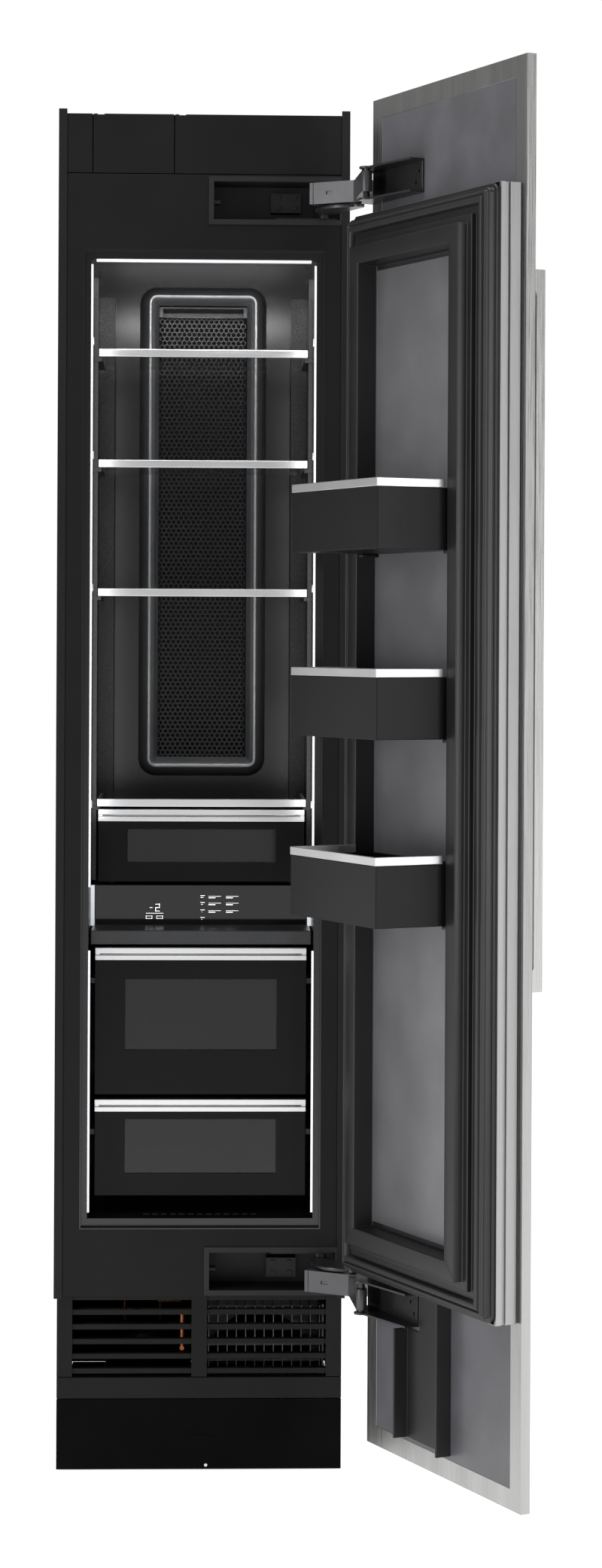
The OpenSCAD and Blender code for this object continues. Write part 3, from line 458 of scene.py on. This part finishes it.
# (distance in from the liner's edge, height above the panel's back)
liner_section = eased([(0, 35), (0, 41), (6, 41), (6, 50), (39.5, 50), (39.5, 58), (51.5, 58),
                       (51.5, 73), (78.5, 73), (80.5, 42), (90, 42)], 1.8)
ring = rings(WIDTH / 2 - case_in, case_low, case_high, liner_section, 14)
ring[:, :, 0] = WIDTH / 2 + ring[:, :, 0]
liner = grid_piece("door_liner_shell", on_door(ring[..., 0], ring[..., 2], ring[..., 1]), "door",
                   door_plastic, caps=True)
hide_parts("door_liner")
print("liner faces:", len(liner.data.polygons))

# %% [markdown]
# ## Small blocks
#
# Clips, strokes and ledges are little blocks with every edge rounded. The
# builder takes a function that puts its points in place, so the same one
# serves the cabinet and the open door.

# %% Blocks


def in_cabinet(x, y, z):
    """A point of the cabinet in metres from millimetres."""
    return np.stack(np.broadcast_arrays(x, y, z), -1) * MM


def block(name, low, high, radius, body, material, place=in_cabinet):
    """A box from low to high in mm with all its edges rounded to radius, put in place."""
    shape = bmesh.new()
    bmesh.ops.create_cube(shape, size=1.0)
    low, high = np.array(low, float), np.array(high, float)
    for vert in shape.verts:
        vert.co = Vector((low + high) / 2 + np.array(vert.co) * (high - low))
    bmesh.ops.bevel(shape, geom=list(shape.edges), offset=min(radius, 0.45 * (high - low).min()),
                    segments=2, profile=0.5, affect="EDGES")
    for vert in shape.verts:
        vert.co = Vector(place(*vert.co))
    bmesh.ops.recalc_face_normals(shape, faces=shape.faces)
    data = bpy.data.meshes.new(name)
    shape.to_mesh(data)
    shape.free()
    data.shade_smooth()
    obj = bpy.data.objects.new(name, data)
    bpy.context.collection.objects.link(obj)
    return show(obj, body, material)


# %% [markdown]
# ## Door gasket, frame seams and bin ledges
#
# The gasket is a hollow bellows with a fat magnet tube along its inner side
# and a thin lip outside, so its section has two humps. The raised frame is
# made of four bars cut at 45 degrees, and each cut shows as a hairline.

# %% Gasket, seams and ledges
bellows = eased([(0, 50.2), (0, 52.5), (1.5, 55), (4.2, 55), (5.5, 52.4), (7.4, 52.4), (8.4, 56.4),
                 (10, 57.4), (14.5, 57.4), (16.4, 55.8), (17.6, 52.5), (18, 50.2)], 0.8, 2)
ring = rings(206, 358, 1913, bellows, 3)
gasket = grid_piece("gasket_bellows", on_door(WIDTH / 2 + ring[..., 0], ring[..., 2], ring[..., 1]),
                    "door", rubber)
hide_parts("door_gasket")

# one dark finish for the frame's hairline joints and for painted shade: the sheet behind the lattice
# and the vent slots stand for shade in openings
seam_and_shade_black = finish("dark hairline joint and painted shade", "#050505", "#080808", 0.7)
for side in (0, 1):
    for z, up in ((404, 1), (1865, -1)):
        t = np.linspace(0, 26, 2)[:, None]
        across = np.array([-0.35, 0.35])[None, :]
        s = 63.5 + t + across
        s = WIDTH - s if side else s
        strip = on_door(s, 73.12, z + up * (t - across))
        data = bpy.data.meshes.new("mitre_seam")
        data.from_pydata(strip.reshape(-1, 3).tolist(), [], [(0, 1, 3, 2)])
        obj = bpy.data.objects.new(f"mitre_seam_{side}_{z}", data)
        bpy.context.collection.objects.link(obj)
        show(obj, "door", seam_and_shade_black)

BIN_TOPS = (1516, 1251, 990)
for i, top in enumerate(BIN_TOPS, 1):
    for side, (s0, s1) in enumerate(((90.7, 104.5), (346.5, 360.3))):
        block(f"bin_ledge_{i}_{side}", (s0, 42.2, top - 104), (s1, 71, top - 99), 1.2, "door",
              door_plastic, on_door)
# painted light: the well floor is part of the same liner sheet, and this thin layer of lighter grey
# stands for the softbox light lying on it
well_painted_light = finish("satin grey ABS lightened as painted light", "#58585B", "#626265", 0.36, ior=1.53, spread=0.04)
block("well_floor_painted_light", (94, 42.1, 434), (357, 43, 1835), 0.4, "door", well_painted_light, on_door)
print("gasket faces:", len(gasket.data.polygons))

# %% [markdown]
# ## Air tower
#
# The tower on the rear wall is a bright drawn ring: it rises steeply from
# the wall, rolls over a narrow crest and falls gently to a black lattice.
# The lattice is a honeycomb: round every centre of a triangular net stands
# a hexagon with a smaller hexagonal hole.

# %% Tower ring and lattice
WALL = 505
tower = eased([(0, 0.2), (1, 6), (3, 14), (8, 26), (14, 34), (17, 36), (21, 35), (26, 30), (33, 16)], 3)
ring = rings(108, 1057, 1892, tower, 30, 9)
cover = grid_piece("tower_ring", in_cabinet(ring[..., 0], WALL - ring[..., 2], ring[..., 1]),
                   body_of["air_cover"], drawn_steel)
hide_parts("air_cover")

PITCH, HOLE = 8.4, 3.55
half_w, low, high, front, depth = 75, 1084, 1862, 489.2, 2.4
row_step = PITCH * math.sqrt(3) / 2
rows = int((high - low) / row_step)
corner = np.radians(30 + 60 * np.arange(6))
outer_r = PITCH / math.sqrt(3)
verts, faces = [], []
for row in range(rows):
    z = low + 6 + row * row_step
    if z > 1836:
        break
    shift = PITCH / 2 * (row % 2)
    for x in np.arange(-half_w + 5 + shift, half_w - 4, PITCH):
        start = len(verts)
        for r, y in ((outer_r, front), (HOLE, front), (HOLE - 0.3, front + depth)):
            verts += [(float(x + r * math.cos(c)), y, float(z + r * math.sin(c))) for c in corner]
        for k in range(6):
            n = (k + 1) % 6
            faces.append((start + k, start + n, start + 6 + n, start + 6 + k))
            faces.append((start + 6 + k, start + 6 + n, start + 12 + n, start + 12 + k))
data = bpy.data.meshes.new("honeycomb")
data.from_pydata((np.array(verts) * MM).tolist(), [], faces)
honeycomb = bpy.data.objects.new("honeycomb", data)
bpy.context.collection.objects.link(honeycomb)
web = finish("black lattice moulding", "#17171A", "#1E1E21", 0.3, spread=0.08)
show(honeycomb, body_of["air_lattice"], web)
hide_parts("air_lattice")
# painted shade: a black sheet behind the honeycomb stands for the dark recess of the fan
block("lattice_painted_shade", (-half_w, 493, low), (half_w, 494.2, 1840), 0.4, "cabinet",
      seam_and_shade_black)
block("backing_edge", (-half_w + 1, 491.4, 1838.6), (half_w - 1, 493.4, 1840.2), 0.5, "cabinet",
      zinc)
print("honeycomb cells:", len(verts) // 18)

# %% [markdown]
# ## Control panel
#
# The controls are touch symbols printed behind black glass and lit from
# behind. Small light strokes stand for them: no words, only a minus sign and
# one seven-segment digit over a line, two outlined keys, a column of icons
# and two columns of level marks.

# %% Display strokes
GLASS_Y = 149.9
strokes = 0


def mark(x0, x1, z0, z1):
    """A lit stroke on the face of the glass."""
    global strokes
    strokes += 1
    block(f"stroke_{strokes}", (x0, GLASS_Y - 0.25, z0), (x1, GLASS_Y + 0.2, z1), 0.12, "cabinet",
          lit)


BAR = 1.1
mark(-82, -77.5, 860.6, 860.6 + BAR)
left, right, low, high = -73, -66, 855, 867
middle = (low + high) / 2
mark(left, right, high - BAR, high)
mark(right - BAR, right, middle, high)
mark(left, right, middle - BAR / 2, middle + BAR / 2)
mark(left, left + BAR, low, middle)
mark(left, right, low, low + BAR)
mark(-88, -60, 851.6, 852.4)
for x in (-88, -71):
    for edge in (843.2, 847.3):
        mark(x, x + 10, edge, edge + 0.7)
    for edge in (x, x + 9.3):
        mark(edge, edge + 0.7, 843.2, 848)
for k, z in enumerate((880, 869, 857, 845)):
    mark(-1, 6, z, z + 0.9)
    mark(-1 + k, 4 - k, z - 3, z - 2.2)
for x in (12, 40):
    for z in (879, 868, 856):
        mark(x, x + 20, z, z + 0.6)
        mark(x, x + 11, z - 2.8, z - 1.6)
print("strokes:", strokes)

# %% [markdown]
# ## Fittings inside the cabinet
#
# The light guides are held by small bright clips at every shelf, and a sill
# of vent slots lets cold air out below the lowest drawer. The tower hides a
# bracket for its fan. Each rail has a bright line along its groove.

# %% Clips, slots, rail lines and the fan bracket
clip_y = (8, 24)
for z in (1754, 1577, 1371, 1034.5):
    for side in (-1, 1):
        x0, x1 = sorted((side * 175, side * 170))
        block(f"clip_{z}_{side}", (x0, clip_y[0], z - 7), (x1, clip_y[1], z + 5), 1.2, "cabinet",
              trim)
# painted shade: each vent slot is a dark strip standing for the shade inside its opening
for i in range(13):
    x = -84 + i * 14
    block(f"vent_slot_shade_{i}", (x - 4.5, 30, 392), (x + 4.5, 34, 392.8), 0.3, "cabinet",
          seam_and_shade_black)
for i in (1, 2, 3):
    low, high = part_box(f"drawer_{i}_rail")
    z = (low[2] + high[2]) / 2 / MM
    y = low[1] / MM
    block(f"rail_line_{i}", (-158, y - 0.5, z - 0.8), (158, y + 0.4, z + 0.8), 0.3, f"drawer_{i}",
          zinc)
# painted shade: black sheets behind and under the machinery stand for the dark of the bay seen through
# the grille
block("machine_bay_shade_back", (-222, 596, 34), (222, 599, 268), 1.0, "cabinet", kick_and_bay_shade_black)
block("machine_bay_shade_floor", (-218, 40, 33), (218, 594, 34.5), 0.5, "cabinet", kick_and_bay_shade_black)
for x in (-70, 68):
    block(f"fan_arm_{x}", (x, 496, 1771), (x + 2, 535, 1789), 0.5, "cabinet",
          drawn_steel)
block("fan_crossbar", (-69, 535, 1771), (69, 537, 1789), 0.5, "cabinet",
      drawn_steel)

# %% [markdown]
# ## End
#
# The dressed model must be the same size as the frame.
# This cell only prints a last line.

# %% Finish
print("dressing done")
